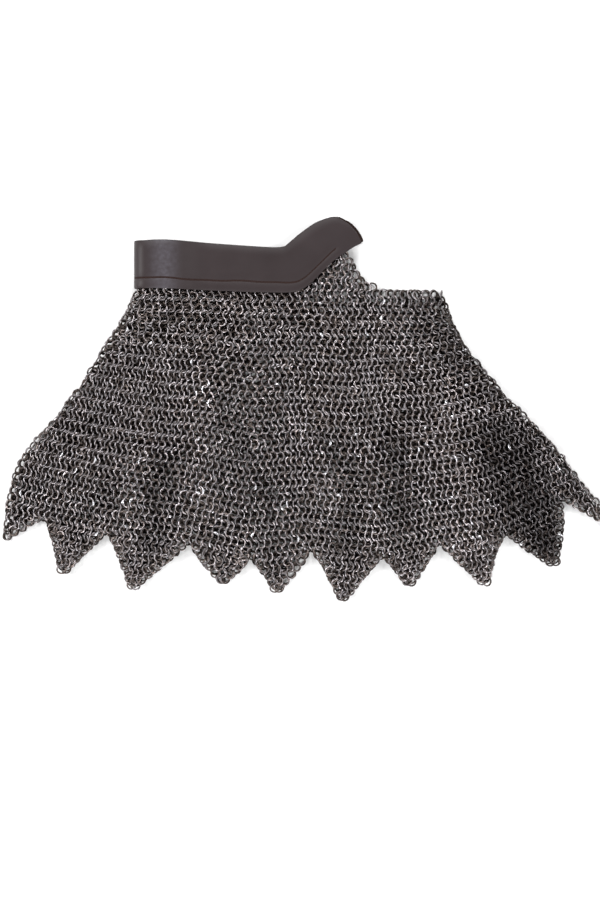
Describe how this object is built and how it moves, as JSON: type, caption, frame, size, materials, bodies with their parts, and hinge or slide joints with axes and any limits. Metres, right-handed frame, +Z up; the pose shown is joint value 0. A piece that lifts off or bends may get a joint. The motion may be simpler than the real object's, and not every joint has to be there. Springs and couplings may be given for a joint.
{
  "type": "chainmail aventail",
  "caption": "Mail cape for a helmet, with a leather band and a pointed hem, laid flat and folded in half.",
  "frame": {"origin": "on the surface it lies on, under the middle of its box", "axes": "+X from the centre-back fold to the centre-front fold, +Y from the hem to the leather band, +Z up"},
  "size_m": [0.716, 0.4433, 0.0272],
  "materials": {
    "mail_steel": "oiled, dark, worn bright on the edges",
    "band_leather": "smooth, dull, dark brown",
    "seam_thread": "waxed thread"
  },
  "bodies": {
    "root": {"mail_cape": "mail_steel", "dag_back_fold": "mail_steel", "dag_front_fold": "mail_steel", "dag_upper_1": "mail_steel", "dag_upper_2": "mail_steel", "dag_upper_3": "mail_steel", "dag_upper_4": "mail_steel", "dag_upper_5": "mail_steel", "dag_upper_6": "mail_steel", "dag_upper_7": "mail_steel", "dag_upper_8": "mail_steel", "dag_under_1": "mail_steel", "dag_under_2": "mail_steel", "dag_under_3": "mail_steel", "dag_under_4": "mail_steel", "dag_under_5": "mail_steel", "dag_under_6": "mail_steel", "dag_under_7": "mail_steel", "dag_under_8": "mail_steel", "leather_band": "band_leather"}
  },
  "joints": []
}
